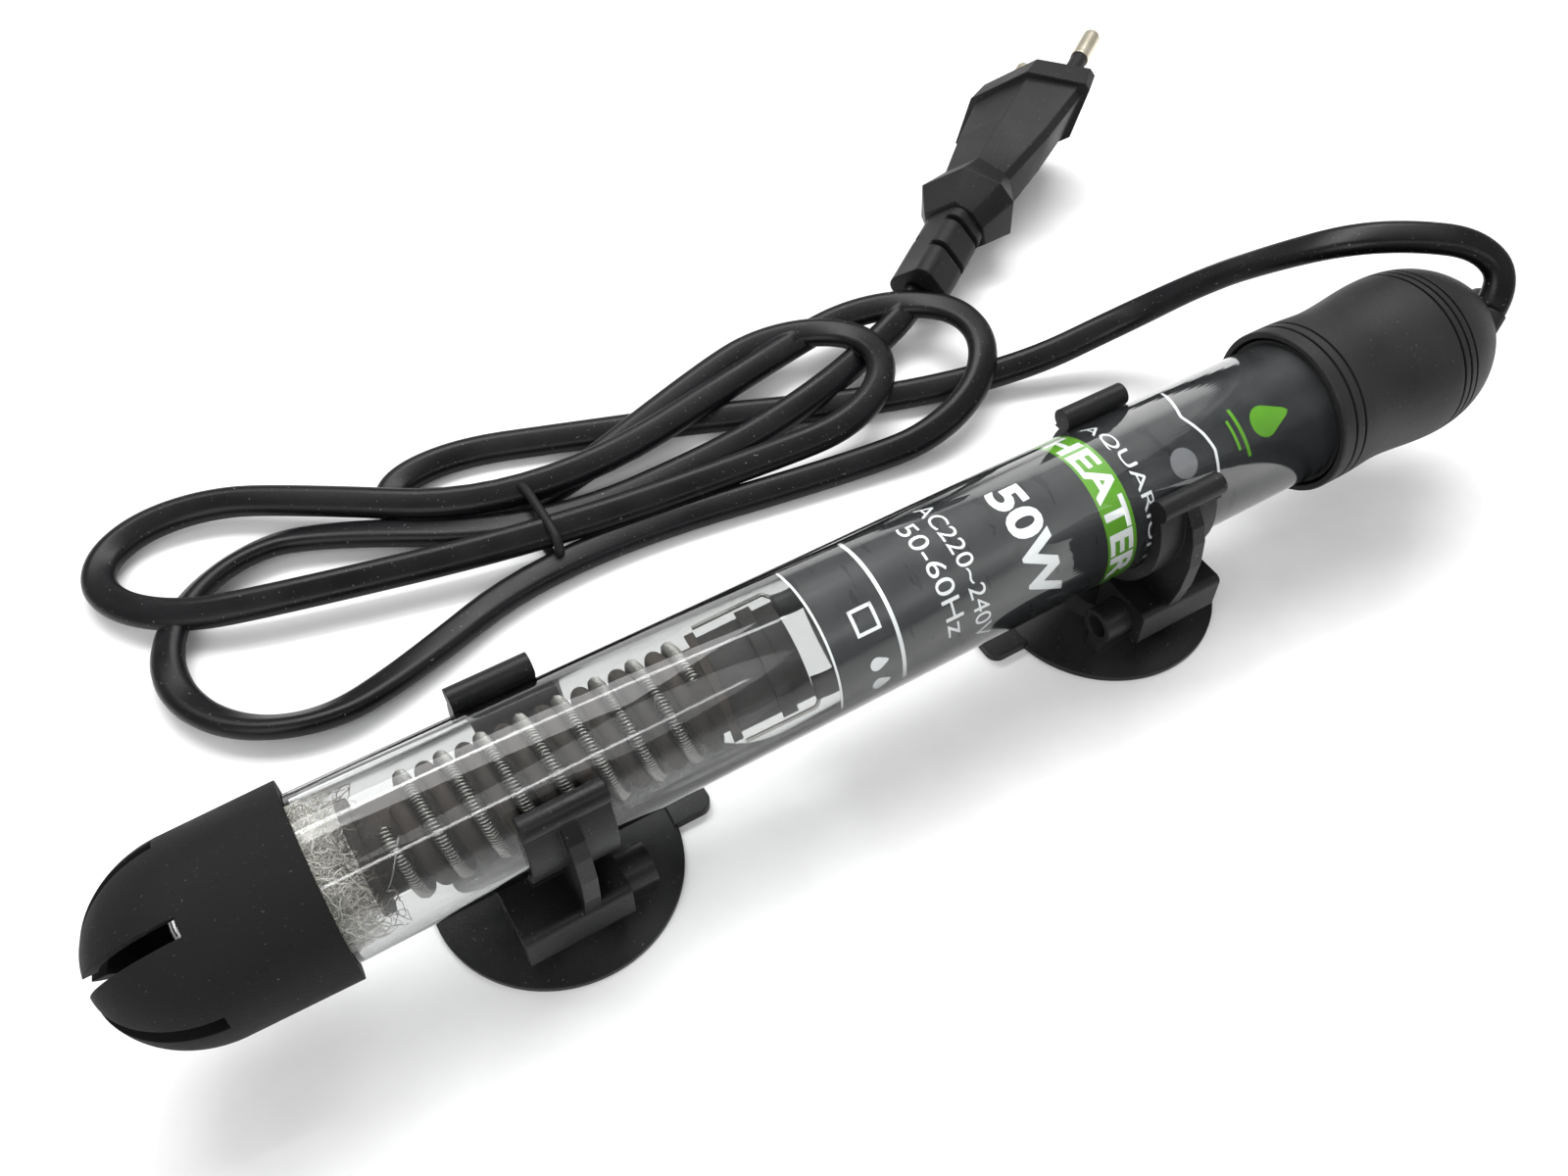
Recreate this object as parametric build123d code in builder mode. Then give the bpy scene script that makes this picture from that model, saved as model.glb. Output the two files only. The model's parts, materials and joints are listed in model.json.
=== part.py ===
from build123d import *
import math
import os

# Submersible aquarium heater lying on its two suction cups.
# X runs along the tube from the slotted tip guard to the adjusting knob,
# Z is up from the table the cups stand on, the tube axis lies in the plane Y = 0.

# ---- driving dimensions, mm ----
AXIS_Z = 26.0            # height of the tube axis above the table
TUBE_R = 11.5            # outside radius of the glass
TUBE_WALL = 1.1
TUBE_END_X = -109.0      # rounded closed end of the glass
TUBE_MOUTH_X = 99.0      # open end, inside the handle cap

GUARD_RIM_X = -90.8      # slotted tip guard
GUARD_DOME_X = -104.8
GUARD_TIP_X = -118.8
GUARD_R = 13.2
GUARD_RIM_R = 13.5
GUARD_WALL = 1.8
SLOT_W = 2.4
SLOT_START_X = -105.8
SLOT_ANGLE = 23.0        # from the top towards the front
SLOT_CUTS = 3

CAP_RIM_X = 69.2         # soft handle cap
CAP_END_X = 113.2
CAP_RECESS_X = 75.0
CAP_RECESS_R = 12.6
CAP_GROOVES_X = (71.5, 73.4, 94.7, 96.2, 97.7)
CAP_GROOVE_W = 0.5
CAP_GROOVE_D = 0.45

KNOB_Y = 1.2             # adjusting knob, off the tube axis
KNOB_Z = 25.2
KNOB_R = 4.0
KNOB_BACK_X = 110.6
KNOB_END_X = 118.8
KNOB_POCKET_X = 110.2
KNOB_POCKET_R = 4.3
SHAFT_R = 2.0
SHAFT_BORE_R = 2.05
SCREW_R = 1.4

GLAND_FACE = Vector(111.3, -3.4, 31.2)
GLAND_DIR = Vector(0.70, 0.25, 0.62)
GLAND_LEN = 9.0

LABEL_R = 10.25          # rolled label inside the glass
LABEL_WALL = 0.25
LABEL_START_X = -21.6
LABEL_END_X = 83.0

CORE_START_X = -86.0     # heating element
CORE_END_X = -36.7
CORE_R = 6.1
CORE_RIB_R = 1.15
CORE_RIB_MAJOR = 6.7
CORE_FLANGE_R = 7.8
CORE_BORE_R = 1.6
COIL_R = 1.0
COIL_MAJOR = 7.2
COIL_PITCH = 5.3
COIL_START_X = -82.0
COIL_TURNS = 8
CORE_RIB_TURNS = 7.4
COLLAR_END_X = -25.3
COLLAR_R = 6.9
COLLAR_STEP_R = 7.7
COLLAR_STEP_X = -30.5
COLLAR_STEP_W = 2.2
LEAD_R = 0.3
LEAD_POS_R = 6.0
LEAD_ANGLES = (-55.0, 125.0)
SLEEVE_R = 1.5
SLEEVE_END_X = -6.0
CRIMP_END_X = -1.0

CLIP_X = (-62.0, 38.3)   # centres of the two clip holders
CLIP_HALF = 5.8
CLIP_IN_R = 11.55
CLIP_OUT_R = 13.5
CLIP_RELIEF_R = 12.6
CLIP_OPEN_ANGLE = 56.0
CLIP_RIB_HALF = 1.15
LIP_R = 1.75
LIP_POS_R = 13.4
FOOT_HALF_Y = 14.6
FOOT_BACK = 9.8
FOOT_FRONT = 5.8
FOOT_TOP_Z = 12.6
FOOT_BOTTOM_Z = 5.4
RAIL_Y = 9.8
RAIL_Z = 8.3
RAIL_R = 2.9
RAIL_HOLE_R = 1.9
CHANNEL_R = 2.98
CHANNEL_SLOT_HALF = 1.5

CUP_R = 18.4             # suction cups
CUP_TAB_W = 6.0
CUP_TAB_LEN = 6.2
CUP_TAB_T = 1.5
RAIL_BACK = 9.5
RAIL_FRONT = 10.5
RAIL_WEB_HALF = 1.2

CORD_R = 2.3             # round stand-in with the flat cord's section area
CORD_BAND = 6.4          # width of the band that a strand takes up in the hank
HANK_H = 8.6
TIE_X = -37.0
TIE_Y = 58.8
TIE_W = 2.2
TIE_T = 0.8
TIE_SPAN = 17.6

# Turns of the hank: middle of the far end X, Y, half length, half width, heading
HANK_TURNS = (
    (15, 64, 20, 14, 0),
    (-86, 80, 21, 13, 155),
    (31, 59, 23, 17, 0),
    (-79, 60, 22, 20, 180),
)
TURN_SWEEP = 110.0       # a turn's end is round this far each side of its heading
TURN_STEPS = 8
TURN_THROAT = 14.0       # from the tie to where a turn's strands part

PLUG_ORIGIN = Vector(98.9, 104.7, 13.0)   # back edge of the plug's collar
PLUG_DIR = Vector(48.4, 32.1, 5.0)
PLUG_ROLL = 40.0
PIN_R = 2.0
PIN_SPACING = 18.6
PIN_LEN = 19.0
PIN_BARE = 9.2
PIN_SLEEVE_R = 1.8

os.makedirs("parts", exist_ok=True)


def save(part, label):
    part.label = label
    export_step(part, f"parts/{label}.step")


def cross_plane(x, y=0.0, z=AXIS_Z):
    """Plane square to the tube: its X is the row's Y, its Y is the row's Z."""
    return Plane(origin=(x, y, z), x_dir=(0, 1, 0), z_dir=(1, 0, 0))


def polar(radius, angle_deg):
    """Y, Z offsets from the axis; the angle runs from the top towards the front."""
    angle = math.radians(angle_deg)
    return (-radius * math.sin(angle), radius * math.cos(angle))


profile_plane = Plane(origin=(0, 0, AXIS_Z), x_dir=(1, 0, 0), z_dir=(0, -1, 0))
tube_axis = Axis((0, 0, AXIS_Z), (1, 0, 0))


def turned(points):
    """Body turned about the tube axis from a closed outline of (x, radius) points."""
    with BuildPart() as body:
        with BuildSketch(profile_plane):
            with BuildLine():
                Polyline(*points, close=True)
            make_face()
        revolve(axis=tube_axis)
    return body.part


def ring(x0, x1, r_out, r_in):
    return turned([(x0, r_in), (x1, r_in), (x1, r_out), (x0, r_out)])


def fillet_radii(points):
    """Bend radius at each inner point: 0.45 of the shorter run over tan(half the turn)."""
    radii = []
    for before, here, after in zip(points, points[1:], points[2:]):
        run_in = Vector(*here) - Vector(*before)
        run_out = Vector(*after) - Vector(*here)
        half_turn = math.radians(run_in.get_angle(run_out)) / 2
        radii.append(0.45 * min(run_in.length, run_out.length) / math.tan(half_turn))
    return radii


def cord_run(points):
    radii = fillet_radii(points)
    print("cord bend radii, mm:", [round(radius, 1) for radius in radii])
    with BuildPart() as run:
        with BuildLine():
            route = FilletPolyline(*points, radius=radii)
        with BuildSketch(Plane(origin=route @ 0, z_dir=route % 0)):
            Circle(CORD_R)
        sweep()
    section_volume = math.pi * CORD_R**2 * route.length
    print("cord length, mm:", round(route.length, 1), "volume ratio:",
          round(run.part.volume / section_volume, 3))
    return run.part


# ---- route of the cord's free run, from the gland over the cap to the hank ----
gland_exit = GLAND_FACE + GLAND_DIR * 6.0
lead_points = [
    (GLAND_FACE.X, GLAND_FACE.Y, GLAND_FACE.Z),
    (gland_exit.X, gland_exit.Y, gland_exit.Z),
    # over the handle cap
    (113, 4, 39.5),
    (105, 10.5, 40),
    (96, 16.5, 39),
    # down behind it
    (90, 25, 32),
    (86, 34, 23),
    (77, 44, 10),
    # onto the table
    (57, 48, 4),
]
free_run = cord_run(lead_points)

# ---- glass tube ----
inner_r = TUBE_R - TUBE_WALL
dome_x = TUBE_END_X + TUBE_R
with BuildPart() as glass_tube:
    with BuildSketch(profile_plane):
        with BuildLine():
            CenterArc((dome_x, 0), TUBE_R, 90, 90)
            Line((dome_x, TUBE_R), (TUBE_MOUTH_X, TUBE_R))
            Line((TUBE_MOUTH_X, TUBE_R), (TUBE_MOUTH_X, inner_r))
            Line((TUBE_MOUTH_X, inner_r), (dome_x, inner_r))
            CenterArc((dome_x, 0), inner_r, 90, 90)
            Line((dome_x - inner_r, 0), (dome_x - TUBE_R, 0))
        make_face()
    revolve(axis=tube_axis)
save(glass_tube.part, "glass_tube")

# ---- slotted tip guard ----
with BuildPart() as tip_guard:
    with BuildSketch(profile_plane):
        with BuildLine():
            EllipticalCenterArc((GUARD_DOME_X, 0), GUARD_DOME_X - GUARD_TIP_X, GUARD_R, 90, arc_size=90)
            Line((GUARD_DOME_X, GUARD_R), (GUARD_RIM_X, GUARD_RIM_R))
            Line((GUARD_RIM_X, GUARD_RIM_R), (GUARD_RIM_X, TUBE_R))
            Line((GUARD_RIM_X, TUBE_R), (GUARD_DOME_X, TUBE_R))
            EllipticalCenterArc(
                (GUARD_DOME_X, 0),
                GUARD_DOME_X - GUARD_TIP_X - GUARD_WALL,
                TUBE_R,
                90,
                arc_size=90,
            )
            Line((GUARD_TIP_X, 0), (GUARD_TIP_X + GUARD_WALL, 0))
        make_face()
    revolve(axis=tube_axis)
    slot_len = SLOT_START_X - GUARD_TIP_X + 1.0
    slot_mid_x = SLOT_START_X - slot_len / 2
    for cut in range(SLOT_CUTS):
        turn = SLOT_ANGLE + cut * 180.0 / SLOT_CUTS
        with Locations(Location((slot_mid_x, 0, AXIS_Z), (turn, 0, 0))):
            Box(slot_len, SLOT_W, 4 * GUARD_R, mode=Mode.SUBTRACT)
save(tip_guard.part, "tip_guard")

# ---- handle cap: soft bullet with ring grooves, hollow over the mouth of the glass ----
gland_plane = Plane(origin=GLAND_FACE, x_dir=(0, 0.94, -0.33), z_dir=GLAND_DIR)
with BuildPart() as cord_gland:
    with BuildSketch(gland_plane):
        SlotOverall(6.2, 4.4)
    extrude(amount=-GLAND_LEN)
save(cord_gland.part, "cord_gland")

with BuildPart() as handle_cap:
    with BuildSketch(profile_plane):
        with BuildLine():
            Polyline(
                (CAP_RECESS_X, TUBE_R),
                (CAP_RECESS_X, CAP_RECESS_R),
                (CAP_RIM_X, CAP_RECESS_R),
                (CAP_RIM_X, 13.4),
                (CAP_RIM_X + 0.3, 13.6),
            )
            Spline(
                (CAP_RIM_X + 0.3, 13.6),
                (75.0, 13.55),
                (80.5, 13.2),
                (87.0, 13.6),
                (94.5, 14.2),
                (100.2, 13.5),
                (103.7, 12.2),
                (107.2, 10.1),
                (110.4, 7.2),
                (112.6, 3.6),
                (CAP_END_X, 0),
                tangents=((1, 0), (0, -1)),
            )
            Polyline(
                (CAP_END_X, 0), (TUBE_MOUTH_X, 0), (TUBE_MOUTH_X, TUBE_R), (CAP_RECESS_X, TUBE_R)
            )
        make_face()
    revolve(axis=tube_axis)
    for groove_x in CAP_GROOVES_X:
        with BuildSketch(cross_plane(groove_x)):
            Circle(CAP_GROOVE_D + 16)
            Circle(13.9 - CAP_GROOVE_D if groove_x > CAP_RECESS_X else 13.6 - CAP_GROOVE_D,
                   mode=Mode.SUBTRACT)
        extrude(amount=CAP_GROOVE_W, mode=Mode.SUBTRACT)
    with BuildSketch(cross_plane(KNOB_POCKET_X, KNOB_Y, KNOB_Z)):
        Circle(KNOB_POCKET_R)
    extrude(amount=10, mode=Mode.SUBTRACT)
    with BuildSketch(cross_plane(TUBE_MOUTH_X, KNOB_Y, KNOB_Z)):
        Circle(SHAFT_BORE_R)
    extrude(amount=20, mode=Mode.SUBTRACT)
    add(cord_gland.part, mode=Mode.SUBTRACT)
    add(free_run, mode=Mode.SUBTRACT)
save(handle_cap.part, "handle_cap")

save(ring(CAP_RIM_X + 0.4, CAP_RECESS_X, 12.1, TUBE_R), "seal_ring")

# ---- rubber stopper in the mouth of the glass ----
with BuildPart() as rubber_stopper:
    with BuildSketch(cross_plane(LABEL_END_X)):
        Circle(inner_r)
    extrude(amount=TUBE_MOUTH_X - LABEL_END_X)
    with BuildSketch(cross_plane(LABEL_END_X, KNOB_Y, KNOB_Z)):
        Circle(SHAFT_BORE_R)
    extrude(amount=30, mode=Mode.SUBTRACT)
    add(cord_gland.part, mode=Mode.SUBTRACT)
save(rubber_stopper.part, "rubber_stopper")

save(ring(LABEL_START_X, LABEL_END_X, LABEL_R, LABEL_R - LABEL_WALL), "label_sleeve")

# ---- fibre pad at the closed end ----
with BuildPart() as fibre_pad:
    with BuildSketch(profile_plane):
        with BuildLine():
            Line((-97.0, 0), (CORE_START_X, 0))
            Line((CORE_START_X, 0), (CORE_START_X, 7.4))
            Spline((CORE_START_X, 7.4), (-89.0, 9.9), (-94.5, 8.6), (-97.0, 0))
        make_face()
    revolve(axis=tube_axis)
save(fibre_pad.part, "fibre_pad")

# ---- ceramic former with its spiral rib ----
core_outline = [
    (CORE_START_X, CORE_BORE_R),
    (CORE_START_X, CORE_FLANGE_R),
    (CORE_START_X + 1.4, CORE_FLANGE_R),
    (CORE_START_X + 1.4, CORE_R),
    (CORE_END_X - 1.3, CORE_R),
    (CORE_END_X - 1.3, CORE_FLANGE_R),
    (CORE_END_X, CORE_FLANGE_R),
    (CORE_END_X, CORE_BORE_R),
]


def spiral(x_start, major, section_r, turns):
    """Round bar wound on the tube axis at the coil pitch."""
    with BuildPart() as wound:
        with BuildLine():
            path = Helix(
                pitch=COIL_PITCH,
                height=COIL_PITCH * turns,
                radius=major,
                center=(x_start, 0, AXIS_Z),
                direction=(1, 0, 0),
            )
        with BuildSketch(Plane(origin=path @ 0, z_dir=path % 0)):
            Circle(section_r)
        sweep(is_frenet=True)
    return wound.part


with BuildPart() as heater_core:
    add(turned(core_outline))
    add(spiral(COIL_START_X + COIL_PITCH / 2, CORE_RIB_MAJOR, CORE_RIB_R, CORE_RIB_TURNS))
save(heater_core.part, "heater_core")
save(spiral(COIL_START_X, COIL_MAJOR, COIL_R, COIL_TURNS), "heating_coil")

# ---- step collar between the element and the label ----
core_collar = turned([
    (CORE_END_X, CORE_BORE_R),
    (CORE_END_X, COLLAR_R),
    (COLLAR_STEP_X, COLLAR_R),
    (COLLAR_STEP_X, COLLAR_STEP_R),
    (COLLAR_STEP_X + COLLAR_STEP_W, COLLAR_STEP_R),
    (COLLAR_STEP_X + COLLAR_STEP_W, COLLAR_R),
    (COLLAR_END_X, COLLAR_R),
    (COLLAR_END_X, CORE_BORE_R),
])
save(core_collar, "core_collar")

# ---- element tails: bare wire over the collar, sleeve, crimp ----
tails = []
sleeves = []
crimps = []
for lead_angle in LEAD_ANGLES:
    ly, lz = polar(LEAD_POS_R, lead_angle)
    oy, oz = polar(COLLAR_STEP_R + 0.6, lead_angle)
    with BuildPart() as tail:
        with BuildLine():
            route = FilletPolyline(
                (CORE_END_X + 0.2, oy, AXIS_Z + oz),
                (COLLAR_END_X - 0.5, oy, AXIS_Z + oz),
                (COLLAR_END_X + 1.6, ly, AXIS_Z + lz),
                (COLLAR_END_X + 3.4, ly, AXIS_Z + lz),
                radius=0.6,
            )
        with BuildSketch(Plane(origin=route @ 0, z_dir=route % 0)):
            Circle(LEAD_R)
        sweep()
    tails.append(tail.part)
    with BuildPart() as sleeve:
        with BuildSketch(cross_plane(COLLAR_END_X + 3.4, ly, AXIS_Z + lz)):
            Circle(SLEEVE_R)
        extrude(amount=SLEEVE_END_X - COLLAR_END_X - 3.4)
    sleeves.append(sleeve.part)
    with BuildPart() as crimp:
        with BuildSketch(cross_plane(SLEEVE_END_X, ly, AXIS_Z + lz)):
            Circle(1.2)
        extrude(amount=CRIMP_END_X - SLEEVE_END_X)
    crimps.append(crimp.part)
save(Compound(children=tails), "coil_leads")
save(Compound(children=sleeves), "lead_sleeves")
save(Compound(children=crimps), "crimps")

# ---- thermostat carrier: a flat spine with two end walls ----
FRAME_X0 = 5.0
FRAME_X1 = 78.0
SPINE_Z = AXIS_Z - 5.6
with BuildPart() as thermostat_frame:
    with Locations((0.5 * (FRAME_X0 + FRAME_X1), 0, SPINE_Z)):
        Box(FRAME_X1 - FRAME_X0, 13.0, 2.0)
    for wall_x in (FRAME_X0 + 1.0, FRAME_X1 - 1.0):
        with BuildSketch(cross_plane(wall_x - 1.0)):
            Circle(7.3)
            with Locations((0, 9.0)):
                Rectangle(24, 9.2, mode=Mode.SUBTRACT)
        extrude(amount=2.0)
    for hinge_y in (-4.2, 4.2):
        with Locations((20.0, hinge_y, SPINE_Z + 3.4)):
            Box(4.0, 1.6, 4.9)
    with BuildSketch(Plane(origin=(20.0, 0, SPINE_Z + 4.4), z_dir=(0, 1, 0))):
        Circle(0.75)
    extrude(amount=10, both=True, mode=Mode.SUBTRACT)
    with BuildSketch(cross_plane(FRAME_X1 - 3.0, KNOB_Y, KNOB_Z)):
        Circle(SCREW_R + 0.05)
    extrude(amount=6.0, mode=Mode.SUBTRACT)
save(thermostat_frame.part, "thermostat_frame")

# ---- contact arm: bimetal strip on a cross pin, moving contact at its free end ----
ARM_Z = SPINE_Z + 4.4
with BuildPart() as bimetal_strip:
    with Locations((41.0, 0, ARM_Z)):
        Box(42.0, 5.0, 0.6)
    with BuildSketch(Plane(origin=(20.0, 0, ARM_Z), z_dir=(0, 1, 0))):
        Circle(0.7)
    extrude(amount=4.9, both=True)
save(bimetal_strip.part, "bimetal_strip")
with BuildPart() as moving_contact:
    with BuildSketch(Plane.XY.offset(ARM_Z - 1.3)):
        with Locations((58.0, 0)):
            Circle(1.5)
    extrude(amount=1.0)
save(moving_contact.part, "moving_contact")
with BuildPart() as fixed_contact:
    with Locations((58.0, 0, SPINE_Z + 1.35)):
        Box(6.0, 5.0, 0.7)
    with BuildSketch(Plane.XY.offset(SPINE_Z + 1.7)):
        with Locations((58.0, 0)):
            Circle(1.5)
    extrude(amount=0.7)
save(fixed_contact.part, "fixed_contact")
with BuildPart() as magnet:
    with Locations((49.0, 0, SPINE_Z + 2.0)):
        Box(5.0, 5.0, 2.0)
save(magnet.part, "magnet")

# ---- indicator lamp and its resistor ----
with BuildPart() as neon_lamp:
    with BuildSketch(cross_plane(30.0, -3.0, AXIS_Z + 6.0)):
        Circle(1.9)
    extrude(amount=9.0)
    fillet(neon_lamp.faces().sort_by(Axis.X)[-1].edges(), 1.5)
save(neon_lamp.part, "neon_lamp")
with BuildPart() as lamp_resistor:
    with BuildSketch(cross_plane(14.0, 3.5, AXIS_Z + 5.0)):
        Circle(1.1)
    extrude(amount=6.5)
    fillet(lamp_resistor.edges().filter_by(GeomType.CIRCLE), 0.4)
save(lamp_resistor.part, "lamp_resistor")

# ---- inner wires from the gland end to the crimps ----
wires = []
for lead_angle in LEAD_ANGLES:
    ly, lz = polar(LEAD_POS_R, lead_angle)
    side = 1 if ly > 0 else -1
    with BuildPart() as wire:
        with BuildLine():
            route = FilletPolyline(
                (CRIMP_END_X, ly, AXIS_Z + lz),
                (CRIMP_END_X + 1.5, ly, AXIS_Z + lz),
                (CRIMP_END_X + 2.8, side * 8.6, AXIS_Z + lz * 0.3),
                (LABEL_END_X - 6.0, side * 8.6, AXIS_Z + lz * 0.3),
                (LABEL_END_X - 3.0, side * 7.0, AXIS_Z - 1.0),
                (LABEL_END_X, side * 7.0, AXIS_Z - 1.0),
                radius=0.8,
            )
        with BuildSketch(Plane(origin=route @ 0, z_dir=route % 0)):
            Circle(0.7)
        sweep()
    wires.append(wire.part)
save(Compound(children=wires), "inner_wires")

# ---- adjusting knob with its shaft, screw and seal ----
with BuildPart() as knob:
    with BuildSketch(cross_plane(KNOB_BACK_X, KNOB_Y, KNOB_Z)):
        Circle(KNOB_R)
    extrude(amount=KNOB_END_X - KNOB_BACK_X)
    chamfer(knob.faces().sort_by(Axis.X)[-1].edges(), 0.5)
    with BuildSketch(cross_plane(KNOB_END_X, KNOB_Y, KNOB_Z)):
        Rectangle(1.2, 5.6)
    extrude(amount=-1.4, mode=Mode.SUBTRACT)
    with BuildSketch(cross_plane(KNOB_BACK_X, KNOB_Y, KNOB_Z)):
        Circle(SHAFT_R)
    extrude(amount=LABEL_END_X + 4.0 - KNOB_BACK_X)
save(knob.part, "knob")
with BuildPart() as adjusting_screw:
    with BuildSketch(cross_plane(62.5, KNOB_Y, KNOB_Z)):
        Circle(SCREW_R)
    extrude(amount=LABEL_END_X + 4.0 - 62.5)
    chamfer(adjusting_screw.faces().sort_by(Axis.X)[0].edges(), 0.4)
save(adjusting_screw.part, "adjusting_screw")
with BuildPart() as knob_seal:
    with BuildSketch(cross_plane(KNOB_POCKET_X, KNOB_Y, KNOB_Z)):
        Circle(3.6)
        Circle(SHAFT_R + 0.05, mode=Mode.SUBTRACT)
    extrude(amount=KNOB_BACK_X - KNOB_POCKET_X - 0.1)
save(knob_seal.part, "knob_seal")

# ---- clip holder: C clip with rolled lips, rib and foot with two channels ----
lip_y, lip_z = polar(LIP_POS_R, -CLIP_OPEN_ANGLE)
rib_outline = [
    (-10.9, 7.2),
    (-12.5, 6.4),
    (-14.4, 4.1),
    (-15.4, 1.4),
    (-16.0, -3.1),
    (-15.7, -8.4),
    (-14.6, -13.4),
    (14.6, -13.4),
    (15.7, -8.4),
    (16.0, -3.1),
    (15.4, 1.4),
    (14.4, 4.1),
    (12.5, 6.4),
    (10.9, 7.2),
]
mouth = [(0, 0), (-22.2, 15.0), (-22.2, 30.0), (22.2, 30.0), (22.2, 15.0)]


def clip_holder(flip):
    """Holder about X = 0; flip turns it round so the foot's long side faces the tip."""
    turn = -1 if flip else 1
    with BuildPart() as holder:
        with BuildSketch(cross_plane(-CLIP_HALF)):
            Circle(CLIP_OUT_R)
            with BuildLine():
                Polyline(*mouth, close=True)
            make_face(mode=Mode.SUBTRACT)
        extrude(amount=2 * CLIP_HALF)
        for side in (-1, 1):
            relief_x = turn * side * 0.5 * (CLIP_HALF + CLIP_RIB_HALF)
            with BuildSketch(cross_plane(relief_x - 0.5 * (CLIP_HALF - CLIP_RIB_HALF))):
                with Locations((side * 15.0, -2.0)):
                    Rectangle(14.0, 15.0)
                Circle(CLIP_RELIEF_R, mode=Mode.SUBTRACT)
            extrude(amount=CLIP_HALF - CLIP_RIB_HALF, mode=Mode.SUBTRACT)
        with BuildSketch(cross_plane(-CLIP_HALF)):
            with Locations((lip_y, lip_z), (-lip_y, lip_z)):
                Circle(LIP_R)
        extrude(amount=2 * CLIP_HALF)
        with BuildSketch(cross_plane(-CLIP_RIB_HALF)):
            with BuildLine():
                Polyline(*rib_outline, close=True)
            make_face()
        extrude(amount=2 * CLIP_RIB_HALF)
        foot_x0 = -FOOT_FRONT if flip else -FOOT_BACK
        with BuildSketch(cross_plane(foot_x0, 0, 0)):
            with Locations((0, 0.5 * (FOOT_TOP_Z + FOOT_BOTTOM_Z))):
                RectangleRounded(2 * FOOT_HALF_Y, FOOT_TOP_Z - FOOT_BOTTOM_Z, 1.2)
            with Locations((0, FOOT_BOTTOM_Z + 2.4)):
                Rectangle(9.0, 4.9, mode=Mode.SUBTRACT)
        extrude(amount=FOOT_BACK + FOOT_FRONT)
        with BuildSketch(cross_plane(foot_x0 - 1.0, 0, 0)):
            with Locations((-RAIL_Y, RAIL_Z), (RAIL_Y, RAIL_Z)):
                Circle(CHANNEL_R)
            with Locations((-RAIL_Y, RAIL_Z - 2.5), (RAIL_Y, RAIL_Z - 2.5)):
                Rectangle(2 * CHANNEL_SLOT_HALF, 5.0)
        extrude(amount=FOOT_BACK + FOOT_FRONT + 2.0, mode=Mode.SUBTRACT)
        with BuildSketch(cross_plane(-2 * FOOT_BACK)):
            Circle(CLIP_IN_R)
            with BuildLine():
                Polyline(*mouth, close=True)
            make_face()
            with Locations((lip_y, lip_z), (-lip_y, lip_z)):
                Circle(LIP_R, mode=Mode.SUBTRACT)
        extrude(amount=4 * FOOT_BACK, mode=Mode.SUBTRACT)
    return holder.part


# ---- suction cup: hollow disc, pull tab, two rails on webs ----
cup_outline = [
    (CUP_R, 0),
    (CUP_R, 0.9),
    (14.5, 1.8),
    (9.0, 3.2),
    (7.0, 4.6),
    (0, 4.8),
    (0, 2.0),
    (10.0, 1.2),
    (CUP_R - 1.4, 0),
]


def suction_cup(side):
    """Cup about X = 0; side is the way its pull tab points."""
    rail_x0 = -RAIL_BACK if side > 0 else -RAIL_FRONT
    rail_len = RAIL_BACK + RAIL_FRONT
    with BuildPart() as cup:
        with BuildSketch(Plane.XZ):
            with BuildLine():
                Polyline(*cup_outline, close=True)
            make_face()
        revolve(axis=Axis.Z)
        with BuildSketch(Plane.XY):
            with Locations((side * (CUP_R + 0.5 * CUP_TAB_LEN - 1.2), 0)):
                RectangleRounded(CUP_TAB_LEN + 2.0, CUP_TAB_W, 2.0)
            Circle(CUP_R - 0.5, mode=Mode.SUBTRACT)
        extrude(amount=CUP_TAB_T)
        with BuildSketch(cross_plane(rail_x0, 0, 0)):
            with Locations((-RAIL_Y, 0.5 * (RAIL_Z + 1.3)), (RAIL_Y, 0.5 * (RAIL_Z + 1.3))):
                Rectangle(2 * RAIL_WEB_HALF, RAIL_Z - 1.3)
            with Locations((-RAIL_Y, RAIL_Z), (RAIL_Y, RAIL_Z)):
                Circle(RAIL_R)
                Circle(RAIL_HOLE_R, mode=Mode.SUBTRACT)
        extrude(amount=rail_len)
    return cup.part


save(Pos(CLIP_X[0], 0, 0) * clip_holder(False), "holder_tip")
save(Pos(CLIP_X[1], 0, 0) * clip_holder(True), "holder_handle")
save(Pos(CLIP_X[0], 0, 0) * suction_cup(1), "cup_tip")
save(Pos(CLIP_X[1], 0, 0) * suction_cup(-1), "cup_handle")


# ---- hank, tie and the two free runs of the cord ----
with BuildPart() as cord_tie:
    with BuildSketch(cross_plane(TIE_X - TIE_W / 2, TIE_Y, HANK_H / 2)):
        RectangleRounded(TIE_SPAN, HANK_H, 1.2)
        RectangleRounded(TIE_SPAN - 2 * TIE_T, HANK_H - 2 * TIE_T, 0.5, mode=Mode.SUBTRACT)
    extrude(amount=TIE_W)
save(cord_tie.part, "cord_tie")

# Strand lying on the table under the turns, and its first bend left of the tie
first_strand = [
    (57, 48), (30, 56), (0, 69), (-25, 78), (-42, 84), (-55, 83), (-58, 76), (-52, 70),
    (TIE_X, TIE_Y + 5),
]


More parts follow.
